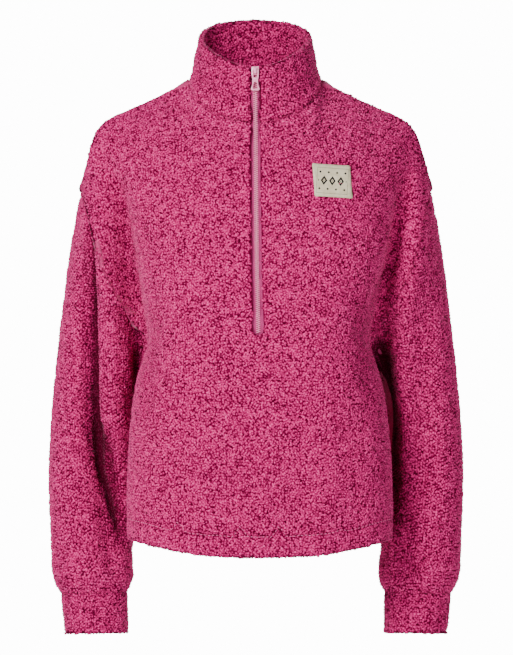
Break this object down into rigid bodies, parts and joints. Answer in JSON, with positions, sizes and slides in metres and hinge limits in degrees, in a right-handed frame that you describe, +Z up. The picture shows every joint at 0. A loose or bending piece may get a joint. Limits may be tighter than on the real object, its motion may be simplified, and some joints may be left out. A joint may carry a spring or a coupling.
{
  "type": "sherpa half-zip pullover with a stand collar",
  "caption": "Hip-length sherpa fleece pullover with a zipped stand collar, dropped shoulders, full sleeves, banded cuffs and a woven chest patch, filled out as if worn.",
  "frame": {"origin": "centre of the neck, level with the points where the shoulder seams meet the collar", "axes": "+Z up, -Y out of the front, +X to the wearer's left"},
  "size_m": [0.5406, 0.2428, 0.7974],
  "materials": {
    "sherpa": "curly fleece pile",
    "zip_tape": "woven tape",
    "zip_plastic": "moulded, semi-gloss",
    "patch_cloth": "woven label cloth"
  },
  "bodies": {
    "garment": {"front": "sherpa", "back": "sherpa", "collar": "sherpa", "sleeve_left": "sherpa", "sleeve_right": "sherpa", "cuff_left": "sherpa", "cuff_right": "sherpa", "zip_tape_left": "zip_tape", "zip_tape_right": "zip_tape", "zip_chain": "zip_plastic", "zip_slider": "zip_plastic", "patch": "patch_cloth"},
    "pull_tab": {"zip_pull": "zip_plastic"}
  },
  "joints": [
    {"name": "pull_swing", "type": "hinge", "parent": "garment", "child": "pull_tab", "pos_m": [-0.00099, -0.08067, 0.03295], "axis": [-1, 0, 0], "range_deg": [0, 170]}
  ]
}
